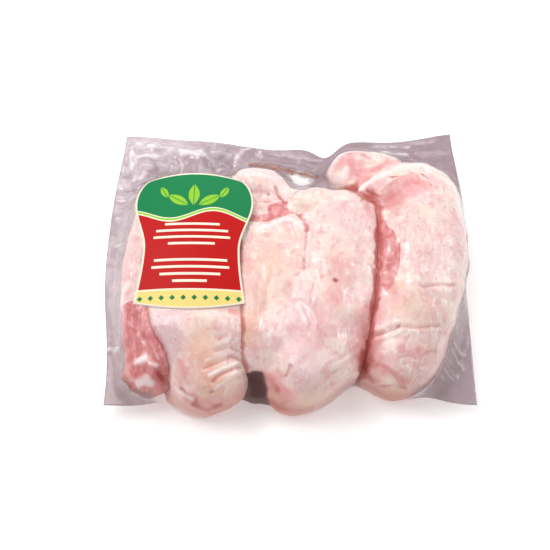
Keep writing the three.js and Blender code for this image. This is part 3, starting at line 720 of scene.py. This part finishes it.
def bag_plan(u, v):
    """The bag's plan. u runs from its left edge to its right one and v from its front to its back."""
    left = -HALF_WIDTH - 1 - 3 * v - bends(v, LEFT_SWELLS) + 1.2 * np.sin(14 * v)
    right = HALF_WIDTH + 3 + 4 * v + bends(v, RIGHT_SWELLS)
    back = BACK_LEFT + BACK_RISE * u - bends(u, BACK_DIPS)
    front = FRONT - bends(u, FRONT_TIPS) + bends(u, FRONT_DIPS)
    return blend(left, right, u), blend(front, back, v)


def behind_rim(x, y):
    """Each y, held back softly where it would come too near the bag's front edge."""
    edge_x, edge_y = bag_plan(np.linspace(0, 1, FILM_COLUMNS), 0)
    room = y - np.interp(x, edge_x, edge_y) - RIM_GAP
    held = y - room + RIM_SOFTNESS * np.exp(np.minimum(room / RIM_SOFTNESS - 1, 0))
    return np.where(room < RIM_SOFTNESS, held, y)


def relief(points, height, size, seed):
    """How far lumps of that height and size lift each point."""
    return height * lumps(points, np.array(size), seed)


def grown_wing(wing, seed):
    """A wing's points, quads and tints: its balls, pressed by its neighbours, the floor and the label."""
    after_remesh, after_first, after_second, at_end = SMOOTHING
    points, quads, edges = rough_shape(wing)
    points = averaged(points, edges, after_remesh)
    points = averaged(squeeze(points, wing, False), edges, after_first)
    points = squeeze(points + REGROWTH * vertex_normals(points, quads), wing, True)
    apart = depth_in_heap(points, wing)[1]
    points = averaged(points, edges, after_second, apart > SEAM_REACH)
    normals = vertex_normals(points, quads)
    tints, lift = paint_marks(points, wing, seed)
    # Along the seams: red skin, darker there as painted shade.
    tints["crease"] = np.maximum(tints["crease"], seam_red_and_shade(points, wing, seed + 7))
    # Painted shade: the skin darkens and browns towards the floor.
    tints["low"] = ramp(points[:, 2], *LOW_PAINTED_SHADE)
    skin = sum(relief(points, height, size, seed + own_seed) for height, size, own_seed in RELIEF)
    height, size, own_seed = LEAN_FIBRES
    fibres = tints["lean"] * relief(points, height, size, seed + own_seed)
    points = points + normals * ((skin + fibres) * ramp(apart, *RELIEF_START) + lift)[:, None]
    points[:, 1] = behind_rim(points[:, 0], points[:, 1])
    points[:, 2] = np.maximum(points[:, 2], REST_GAP)
    inside = inside_label(points[:, 0], points[:, 1])
    ceiling = below_label(points[:, 0], points[:, 1], inside) - 3 * FILM_CLEARANCE
    pressed = np.minimum(points[:, 2], ceiling)
    points[:, 2] = np.where(inside > -LABEL_PRESS_MARGIN, pressed, points[:, 2])
    return averaged(points, edges, at_end, apart > SEAM_REACH), quads, tints


def juice_points():
    """A flat trickle along its path, wavy at its edges, as a closed tube."""
    places = np.array(JUICE_PATH, float)
    lengths = np.concatenate([[0], np.cumsum(np.linalg.norm(np.diff(places, axis=0), axis=1))])
    along = np.linspace(0, lengths[-1], JUICE_STEPS)
    centre = np.stack([np.interp(along, lengths, places[:, k]) for k in range(2)], axis=1)
    links = np.stack([np.arange(JUICE_STEPS - 1), np.arange(1, JUICE_STEPS)], axis=1)
    centre = averaged(centre, links, JUICE_SMOOTHING)
    heading = np.gradient(centre, axis=0)
    heading /= np.linalg.norm(heading, axis=1, keepdims=True)
    wave = lumps(np.stack([along, along * 0, along * 0], axis=1), 7, 5)
    taper = np.sin(np.pi * np.linspace(0.04, 0.96, JUICE_STEPS)) ** 0.4
    half = JUICE_HALF_WIDTH * taper * (1 + JUICE_WAVINESS * wave)
    points = []
    for k in range(JUICE_STEPS):
        side = np.array([-heading[k, 1], heading[k, 0]])
        for turn in np.arange(JUICE_SIDES) * 2 * math.pi / JUICE_SIDES:
            flat = centre[k] + side * half[k] * math.cos(turn)
            points.append([*flat, SEAM_HEIGHT + JUICE_RISE + JUICE_THICKNESS / 2 * math.sin(turn)])
    faces = []
    last = (JUICE_STEPS - 1) * JUICE_SIDES
    for k in range(0, last, JUICE_SIDES):
        for j in range(JUICE_SIDES):
            beside = (j + 1) % JUICE_SIDES
            faces.append([k + beside, k + j, k + JUICE_SIDES + j, k + JUICE_SIDES + beside])
    faces.append(list(range(JUICE_SIDES)))
    faces.append([last + j for j in reversed(range(JUICE_SIDES))])
    return np.array(points), faces


def border_height(u, v):
    """The seam's height: it droops along the front and at its corners, and waves everywhere else."""
    front = smooth((0.2 - v) / 0.2)
    middle = smooth(u / 0.22) * smooth((1 - u) / 0.2)
    wave = BORDER_WAVE * np.sin(17 * u + 2) * np.sin(13 * v + 1)
    corners = FRONT_CORNER_DROP * (1 - middle) * bell(v, 0.3)
    return SEAM_HEIGHT - FRONT_SEAM_DROP * front * middle - corners + wave * (1 - front)


def spread(grid):
    """Each place's highest value among itself and its eight neighbours."""
    padded = np.pad(grid, 1, mode="edge")
    rows, columns = grid.shape
    return np.max([padded[i:i + rows, j:j + columns] for i in range(3) for j in range(3)], axis=0)


def grid_mean(grid):
    """The mean of each inner place's four neighbours."""
    return (grid[:-2, 1:-1] + grid[2:, 1:-1] + grid[1:-1, :-2] + grid[1:-1, 2:]) / 4


def softened(grid, times):
    for _ in range(times):
        padded = np.pad(grid, 1, mode="edge")
        grid = (grid + grid_mean(padded)) / 2
    return grid


def stretched(grid, shape):
    """The grid drawn out to another number of rows and columns, straight between its values."""
    for count in shape:
        new = np.linspace(0, 1, count)
        old = np.linspace(0, 1, grid.shape[0])
        grid = np.stack([np.interp(new, old, column) for column in grid.T])
    return grid


def drawn_tight(rest, cap):
    """Film that lies on the heights in rest, no higher than cap, and is drawn straight between them."""
    film = rest[::RELAXING[0][0], ::RELAXING[0][0]]
    for stride, turns in RELAXING:
        floor = rest[::stride, ::stride]
        ceiling = cap[::stride, ::stride]
        film = np.maximum(stretched(film, floor.shape), floor)
        for edge in ((0, slice(None)), (-1, slice(None)), (slice(None), 0), (slice(None), -1)):
            film[edge] = floor[edge]
        pull = VACUUM_CURVATURE * (FILM_STEP * stride) ** 2 / 4
        for _ in range(turns):
            film[1:-1, 1:-1] = np.maximum(floor[1:-1, 1:-1], grid_mean(film) - pull)
            film = np.minimum(film, ceiling)
    return film


def heights_met(x, y, tree, start, down):
    """The height that a ray along Z first meets over each place, from start, and where it meets anything."""
    found = np.full(x.shape, np.nan)
    for place in np.ndindex(x.shape):
        hit = tree.ray_cast((x[place], y[place], start), (0, 0, down))[0]
        if hit is not None:
            found[place] = hit.z
    return found, ~np.isnan(found)


def clear_of(heights, met):
    """Heights that the film keeps to over what it covers: a little above it, and more where it is steep."""
    known = np.where(met, heights, NOWHERE)
    widest = spread(known)
    beside = np.where(widest > NOWHERE / 2, widest - 1, NOWHERE)
    return np.where(met, (known + widest) / 2, beside) + FILM_CLEARANCE


def folds_over(x, y):
    """How far the film's own folds and crumples lift it from its smooth shape."""
    places = np.stack([x.ravel(), y.ravel(), 0 * x.ravel()], axis=1)
    lift = np.zeros(len(places))
    broken = 0.75 + 0.45 * lumps(places, 8, 34) + 0.35 * lumps(places, 4, 35)
    for path, height, reach in FILM_FOLDS:
        lift += height * broken * bell(distance_to_path(places, path) + 0.7 * lumps(places, 6, 36), reach)
    crumple = 1 - 3 * np.abs(lumps(places, 17, 31)) + 0.4 * lumps(places, 7, 32)
    for (middle_x, middle_y), reach, height in FILM_CRUMPLES:
        lift += height * bell(np.hypot(places[:, 0] - middle_x, places[:, 1] - middle_y), reach) * crumple
    lift += 0.5 * lumps(places, np.array([22, 30, 1]), 33)
    return lift.reshape(x.shape)


def closed_sheets(x, y, top, under):
    """Points and quads of a closed solid between two sheets on one grid, with a wall round their rim."""
    rows, columns = x.shape
    points = np.concatenate([np.stack([x, y, z], axis=-1).reshape(-1, 3) for z in (top, under)])
    index = np.arange(rows * columns).reshape(rows, columns)
    quads = np.stack([index[:-1, :-1], index[:-1, 1:], index[1:, 1:], index[1:, :-1]], axis=-1).reshape(-1, 4)
    rim = np.concatenate([index[0, :-1], index[:-1, -1], index[-1, :0:-1], index[:0:-1, 0]])
    beyond = np.roll(rim, -1)
    lower = rows * columns
    wall = np.stack([rim + lower, beyond + lower, beyond, rim], axis=1)
    return points, np.concatenate([quads, quads[:, ::-1] + lower, wall])


def film_shape(tree):
    """The bag's points and quads, how bare each point is, from 0 over meat to 1, and its folds' lift."""
    across = np.linspace(0, 1, FILM_COLUMNS + 1)
    v, u = np.meshgrid(np.linspace(0, 1, FILM_ROWS + 1), across, indexing="ij")
    x, y = bag_plan(u, v)
    border = border_height(u, v)
    inside = inside_label(x, y)
    cap = below_label(x, y, inside)
    found, met = heights_met(x, y, tree, ABOVE_ALL, -1)
    rest = np.maximum(border + BORDER_THICKNESS / 2, clear_of(found, met))
    top = drawn_tight(np.where(inside > 0, cap, np.minimum(rest, cap)), cap)
    lowest, _ = heights_met(x, y, tree, BELOW_ALL, 1)
    rest = np.maximum(BORDER_THICKNESS / 2 - border, clear_of(-lowest, met))
    under = np.maximum(-drawn_tight(rest, np.full(rest.shape, np.inf)), FILM_REST_GAP)
    loose = ramp(softened(1.0 - spread(met.astype(float)), 5), 0.5, 1) * ramp(-inside, *FOLD_START)
    lift = loose * folds_over(x, y)
    wet = met & (found < border + JUICE_THICKNESS + 2)
    empty = np.where(met, JUICE_HAZE * wet, 1.0)
    front = ramp(v, *CLEAR_FRONT) * ramp(np.abs(u - CLEAR_MIDDLE), *CLEAR_HALF)
    steep = 1 - STEEP_CLEARNESS * ramp(top - border, *STEEP_CLIMB)
    bare = softened(empty * (1 - front) * steep, 3) * (inside < 0)
    points, quads = closed_sheets(x, y, top + lift, under + lift)
    return points, quads, {"bare": np.tile(bare.ravel(), 2), "fold": np.tile(lift.ravel(), 2)}


def label_shape():
    """The label's points, quads and how far each is inside its outline."""
    across = np.linspace(-1, 1, LABEL_COLUMNS + 1)
    share, a = np.meshgrid(np.linspace(0, 1, LABEL_ROWS + 1), across, indexing="ij")
    half = label_half_width(share)
    arch = LABEL_EDGE_ARCH * a**2
    low = arch - LABEL_LENGTH / 2
    x = LABEL_CENTRE[0] + a * half
    y = LABEL_CENTRE[1] + blend(low, -low, share)
    height = label_height(x, y)
    inset = np.minimum((1 - np.abs(a)) * half, -2 * low * np.minimum(share, 1 - share))
    points, quads = closed_sheets(x, y, height + LABEL_THICKNESS, height)
    return points, quads, {"inset": np.tile(inset.ravel(), 2)}


def colour(code):
    """Blender's linear colour for a colour's sRGB bytes."""
    parts = [(code >> shift & 255) / 255 for shift in (16, 8, 0)]
    return (*[((part + 0.055) / 1.055) ** 2.4 if part > 0.04045 else part / 12.92 for part in parts], 1.0)


class Wire:
    """An output socket of a material's nodes. Arithmetic on it adds the Math nodes that work it out."""

    def __init__(self, paint, socket):
        self.paint = paint
        self.socket = socket

    def maths(self, operation, *values):
        return self.paint.add("ShaderNodeMath", {"operation": operation}, dict(enumerate(values)))

    def __add__(self, other):
        return self.maths("ADD", self, other)

    def __radd__(self, other):
        return self.maths("ADD", other, self)

    def __sub__(self, other):
        return self.maths("SUBTRACT", self, other)

    def __rsub__(self, other):
        return self.maths("SUBTRACT", other, self)

    def __mul__(self, other):
        return self.maths("MULTIPLY", self, other)

    def __rmul__(self, other):
        return self.maths("MULTIPLY", other, self)

    def __truediv__(self, other):
        return self.maths("DIVIDE", self, other)

    def __pow__(self, other):
        return self.maths("POWER", self, other)

    def __abs__(self):
        return self.maths("ABSOLUTE", self)

    def __mod__(self, other):
        return self.maths("FLOORED_MODULO", self, other)

    def ramp(self, start, end):
        """0 at start and before it, 1 at end and past it, and smooth between them."""
        sockets = {"Value": self, "From Min": start, "From Max": end}
        return self.paint.add("ShaderNodeMapRange", {"interpolation_type": "SMOOTHSTEP"}, sockets)


class Paint:
    """A material and the nodes in it."""

    def __init__(self, name):
        self.material = bpy.data.materials.new(name)
        self.material.use_nodes = True
        self.tree = self.material.node_tree
        self.tree.nodes.clear()
        self.place = self.add("ShaderNodeTexCoord", {}, {}, "Object")

    def add(self, kind, settings, sockets, output=0):
        """The wire of an output of a new node, given its settings and its sockets' values or links."""
        node = self.tree.nodes.new(kind)
        for key, value in settings.items():
            setattr(node, key, value)
        for key, value in sockets.items():
            if isinstance(value, Wire):
                self.tree.links.new(value.socket, node.inputs[key])
            else:
                node.inputs[key].default_value = value
        return Wire(self, node.outputs[output])

    def mix(self, share, a, b):
        """Colour a turned to colour b by share."""
        return self.add("ShaderNodeMix", {"data_type": "RGBA"}, {0: share, 6: a, 7: b}, 2)

    def measure(self, name):
        """The number that the mesh has at each vertex under that name."""
        return self.add("ShaderNodeAttribute", {"attribute_name": name}, {}, "Fac")

    def noise(self, size, detail=2.0, distortion=0.0, place=None):
        """Cloudy noise from 0 to 1, with clouds about size millimetres across."""
        sockets = {"Vector": place or self.place, "Scale": 1 / (size * MM)}
        sockets.update({"Detail": detail, "Distortion": distortion})
        return self.add("ShaderNodeTexNoise", {}, sockets, "Fac")

    def drawn_out(self, factors):
        """The place with each axis scaled by its factor."""
        return self.add("ShaderNodeVectorMath", {"operation": "MULTIPLY"}, {0: self.place, 1: factors})

    def along(self, axis):
        """The place along one axis, in millimetres."""
        return self.add("ShaderNodeSeparateXYZ", {}, {0: self.place}, axis) / MM

    def bump(self, height, distance, strength=1.0):
        """A normal from a height that counts distance millimetres from 0 to 1."""
        sockets = {"Height": height, "Distance": distance * MM, "Strength": strength}
        return self.add("ShaderNodeBump", {}, sockets)

    def near(self, middle, reach):
        """1 at middle, in millimetres, falling to 0 at reach from it."""
        ends = {0: self.place, 1: Vector(middle) * MM}
        gap = self.add("ShaderNodeVectorMath", {"operation": "DISTANCE"}, ends, 1)
        return gap.ramp(reach * MM, 0.4 * reach * MM)

    def wave(self, turns):
        return self.add("ShaderNodeMath", {"operation": "SINE"}, {0: turns})

    def finish(self, shader):
        """The material, once shader is what its surface shows."""
        output = self.tree.nodes.new("ShaderNodeOutputMaterial")
        self.tree.links.new(shader.socket, output.inputs["Surface"])
        return self.material


def wing_skin():
    """Skin over fat, bare lean muscle and the creases between, with painted shade low down, in creases and in
    gaps, and painted highlights on ridges, by the measures that a wing piece has.
    """
    paint = Paint("raw_skin_fat_and_lean")
    fine = paint.noise(1.5, 3)
    patch = paint.noise(8, 1.6, 0.6)
    cloud = paint.noise(24, 2, 0.6)
    ragged = 0.45 * (patch - 0.5) + 0.25 * (fine - 0.5)

    def tinted(under, tint, tone):
        tear, start, end = TINT_EDGES[tint]
        return paint.mix((paint.measure(tint) + tear * ragged).ramp(start, end), under, tone)

    skin = paint.mix(cloud.ramp(0.38, 0.62), colour(0xF9E2D6), colour(0xF3D0CC))
    skin = paint.mix(0.8 * patch.ramp(0.5, 0.76), skin, colour(0xE8B3B5))
    flecks = paint.noise(3.4, 2, 0.8, paint.drawn_out((1, 0.45, 0.7)))
    skin = paint.mix(0.8 * flecks.ramp(0.5, 0.68), skin, colour(0xFDF0EC))
    for tint, code in (("warm", 0xF0C3A6), ("lilac", 0xE5C9D0)):
        skin = paint.mix(0.75 * (paint.measure(tint) + 0.5 * ragged), skin, colour(code))
    skin = tinted(skin, "pink", colour(0xE9A4A2))
    veins = abs(paint.noise(13, 3, 1.2) - 0.5).ramp(0.014, 0.003)
    skin = paint.mix(0.35 * veins * cloud.ramp(0.45, 0.6), skin, colour(0xD9797C))
    grain = paint.noise(1.8, 3, 0.6, paint.drawn_out((1, 0.22, 0.5)))
    lean = paint.mix(patch.ramp(0.35, 0.65), colour(0xD4787A), colour(0xE59A98))
    lean = paint.mix(0.35 * grain.ramp(0.4, 0.65), lean, colour(0xC85F62))
    streak = paint.noise(3.5, 2, 1.0, paint.drawn_out((1, 0.2, 0.5)))
    lean = paint.mix(0.6 * streak.ramp(0.6, 0.72), lean, colour(0xF3CBC4))
    fat = paint.mix(patch.ramp(0.42, 0.62), colour(0xF8E4D8), colour(0xF0D1C4))
    meat = tinted(skin, "lean", lean)
    # Creases and seams: red skin, and darker there as painted shade.
    meat = tinted(meat, "crease", colour(0xC0554C))
    meat = tinted(meat, "red", colour(0xB83A3C))
    meat = tinted(meat, "fat", fat)
    # Pale skin, tendons and cartilage, and painted highlights on ridges.
    meat = tinted(meat, "pale", colour(0xFCEDE9))
    # Painted shade: the lower skin turns browner and darker towards the floor.
    meat = paint.mix(0.8 * paint.measure("low"), meat, colour(0xC8725C))
    # Painted shade: dark brown in the gaps between the lobe tips.
    meat = tinted(meat, "dark", colour(0x5A2620))
    relief_height = 0.5 * patch + 0.3 * fine + 0.5 * grain * paint.measure("lean")
    return paint.finish(paint.add("ShaderNodeBsdfPrincipled", {}, {
        "Base Color": meat,
        "Roughness": 0.36 + 0.3 * fine,
        "Subsurface Weight": 0.3,
        "Subsurface Scale": 6 * MM,
        "Subsurface Radius": (1.0, 0.35, 0.25),
        "Specular IOR Level": 0.4,
        "Normal": paint.bump(relief_height, 0.5, 0.6),
    }))


def clear_film():
    """Clear film, hazy and mauve in the border, where two sheets of it meet."""
    paint = Paint("clear_vacuum_film")
    facing = paint.add("ShaderNodeLayerWeight", {}, {"Blend": 0.5}, "Facing")
    ripple = paint.noise(5, 3, 0.8, paint.drawn_out((1, 1, 0.3)))
    wrinkle = abs(paint.noise(9, 2, 1.2) - 0.5).ramp(0.05, 0.0)
    shape = paint.bump(0.5 * ripple + 0.5 * wrinkle, 0.6, 0.6)
    through = paint.add("ShaderNodeBsdfTransparent", {}, {"Color": (0.985, 0.97, 0.975, 1)})
    shine = {"Color": (1, 1, 1, 1), "Roughness": 0.18, "Normal": shape}
    gloss = paint.add("ShaderNodeBsdfGlossy", {}, shine)
    clear = paint.add("ShaderNodeMixShader", {}, {0: 0.045 + 0.955 * facing**5, 1: through, 2: gloss})
    across = paint.along("X")
    depth = paint.along("Y")
    # Painted highlight: a whiter, hazier patch of film behind the pieces.
    painted_glint = paint.near(*PAINTED_GLINT_PATCH) * paint.noise(7, 2, 0.6).ramp(0.3, 0.5)
    tone = paint.mix(depth.ramp(-20, -110), colour(0xD0BEC4), colour(0xB4999D))
    tone = paint.mix(across.ramp(-150, -60), tone, colour(0xA58D95))
    tone = paint.mix(0.6 * paint.noise(16, 3, 0.8).ramp(0.4, 0.65), tone, colour(0xA3868F))
    fold = paint.measure("fold")
    # Painted shade in the folds' troughs, and painted highlight on their crests.
    tone = paint.mix(0.6 * fold.ramp(-0.3, -1.8), tone, colour(0x8F767F))
    tone = paint.mix(0.8 * (fold + 1.6 * (ripple - 0.5)).ramp(*FOLD_PAINTED_HIGHLIGHT), tone, colour(0xF6F2F4))
    tone = paint.mix(0.9 * painted_glint, tone, colour(0xFBF9F9))
    haze = paint.add("ShaderNodeBsdfPrincipled", {}, {
        "Base Color": tone,
        "Roughness": 0.14 + 0.1 * ripple,
        "Specular IOR Level": 0.7,
        "Normal": shape,
    })
    thick = 0.62 + 0.13 * across.ramp(-70, 0) * depth.ramp(-100, -50) + 0.2 * painted_glint
    bare = paint.measure("bare").ramp(0.1, 0.9)
    return paint.finish(paint.add("ShaderNodeMixShader", {}, {0: thick * bare, 1: clear, 2: haze}))


def leaf(across, along, middle, turn, half_length):
    """How far a place is inside a leaf: over 0 in it, 1 at its middle. Also its distance from the rib."""
    east = across - middle[0]
    north = along - middle[1]
    length = east * math.cos(turn) + north * math.sin(turn)
    width = abs(north * math.cos(turn) - east * math.sin(turn))
    return 1 - (length / half_length) ** 2 - width / (LEAF_WIDTH * half_length), width


def label_print():
    """Plain fields and shapes: a green head with a leaf sprig, a red field with bars, a yellow foot."""
    paint = Paint("printed_label_paper")
    across = paint.along("X") - LABEL_CENTRE[0]
    along = paint.along("Y") - LABEL_CENTRE[1]
    cream = colour(0xFBF3DC)
    dark_green = colour(0x00804A)
    light_green = colour(0x91CD32)
    yellow = colour(0xF5DC82)
    ink = colour(0xC00A0E)
    hill = along - 24 - 6 * paint.wave(across / 13)
    for edge, field in ((-3.2, cream), (-1.8, light_green), (0.4, cream), (1.4, dark_green)):
        ink = paint.mix(hill.ramp(edge - 0.2, edge + 0.2), ink, field)
    for middle, turn, size in LABEL_LEAVES:
        inside, rib = leaf(across, along, middle, turn, size)
        ink = paint.mix(inside.ramp(0, 0.06), ink, light_green)
        ink = paint.mix(inside.ramp(0.05, 0.1) * rib.ramp(0.5, 0.25), ink, dark_green)
    for height, half in LABEL_BARS:
        bar = abs(along - height).ramp(1.4, 1.1) * abs(across).ramp(half, half - 0.4)
        ink = paint.mix(bar, ink, cream)
    foot = -56 - along
    for edge, field in ((-1.6, cream), (0, yellow)):
        ink = paint.mix(foot.ramp(edge - 0.2, edge + 0.2), ink, field)
    diamond = abs(across % 10 - 5) + abs(foot - 7)
    ink = paint.mix(diamond.ramp(2.8, 2.5), ink, dark_green)
    ink = paint.mix(paint.measure("inset").ramp(2.0, 1.6), ink, cream)
    fibre = paint.noise(0.8, 3)
    ink = paint.mix(0.06 * fibre, ink, colour(0x8C6450))
    return paint.finish(paint.add("ShaderNodeBsdfPrincipled", {}, {
        "Base Color": ink,
        "Roughness": 0.42 + 0.1 * fibre,
        "Specular IOR Level": 0.15,
        "Normal": paint.bump(paint.noise(9, 2), 0.5, 0.3),
    }))


def meat_juice():
    """Thin brown juice, darker where it is thick."""
    paint = Paint("meat_juice")
    tone = paint.mix(paint.noise(5, 3).ramp(0.4, 0.62), colour(0xB56A3A), colour(0x8C3F24))
    return paint.finish(paint.add("ShaderNodeBsdfPrincipled", {}, {"Base Color": tone, "Roughness": 0.25}))


def pale_floor():
    paint = Paint("pale_floor")
    tone = paint.mix(0.3 * paint.noise(60, 2), colour(0xFBFAFA), colour(0xF6F5F5))
    return paint.finish(paint.add("ShaderNodeBsdfPrincipled", {}, {
        "Base Color": tone,
        "Roughness": 0.7,
        "Emission Color": (1, 1, 1, 1),
        "Emission Strength": 0.28,
    }))


def add_light(name, place, aim, size, power):
    """A soft light of that size at place, turned to aim."""
    data = bpy.data.lights.new(name, "AREA")
    data.shape = "RECTANGLE"
    data.size = size[0] * MM
    data.size_y = size[1] * MM
    data.energy = power
    light = bpy.data.objects.new(name, data)
    bpy.context.scene.collection.objects.link(light)
    light.location = Vector(place) * MM
    light.rotation_euler = (Vector(aim) - Vector(place)).to_track_quat("-Z", "Y").to_euler()


def add_piece(name, shape, material, node):
    """A piece of the object that stands for a node of the model."""
    points, faces, *measures = shape
    piece = mesh_object(name, points, faces, material, *measures)
    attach(piece, "root")
    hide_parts(node)
    return piece


def tree_of(shapes):
    """What rays can meet of all the shapes, in millimetres."""
    points = []
    faces = []
    for shape in shapes:
        faces += [[corner + len(points) for corner in face] for face in shape[1]]
        points += shape[0].tolist()
    return BVHTree.FromPolygons(points, faces)


camera_data = bpy.data.cameras.new("camera")
camera_data.lens = CAMERA_LENS
camera = bpy.data.objects.new("camera", camera_data)
bpy.context.scene.collection.objects.link(camera)
rise = math.radians(CAMERA_ELEVATION)
camera.location = (Vector(CAMERA_AIM) + CAMERA_DISTANCE * Vector((0, -math.cos(rise), math.sin(rise)))) * MM
camera.rotation_euler = (math.pi / 2 - rise, 0, 0)
bpy.context.scene.camera = camera

wings = {wing: grown_wing(wing, 40 + 10 * turn) for turn, wing in enumerate(WINGS)}
juice = juice_points()
meat_material = wing_skin()
for wing, shape in wings.items():
    add_piece(wing, shape, meat_material, "bag")
add_piece("juice", juice, meat_juice(), "bag")
add_piece("film", film_shape(tree_of([*wings.values(), juice])), clear_film(), "bag")
add_piece("label_sheet", label_shape(), label_print(), "label")

corners = [(x * FLOOR_HALF, y * FLOOR_HALF, FLOOR_HEIGHT) for x, y in ((-1, -1), (1, -1), (1, 1), (-1, 1))]
floor = mesh_object("floor", np.array(corners), [[0, 1, 2, 3]], pale_floor())

for name, light in LIGHTS.items():
    add_light(name, *light)
world = bpy.data.worlds.new("soft_surround")
world.use_nodes = True
background = world.node_tree.nodes["Background"]
background.inputs["Color"].default_value = SURROUND_COLOUR
background.inputs["Strength"].default_value = SURROUND_STRENGTH
bpy.context.scene.world = world
bpy.context.scene.view_settings.view_transform = "Standard"
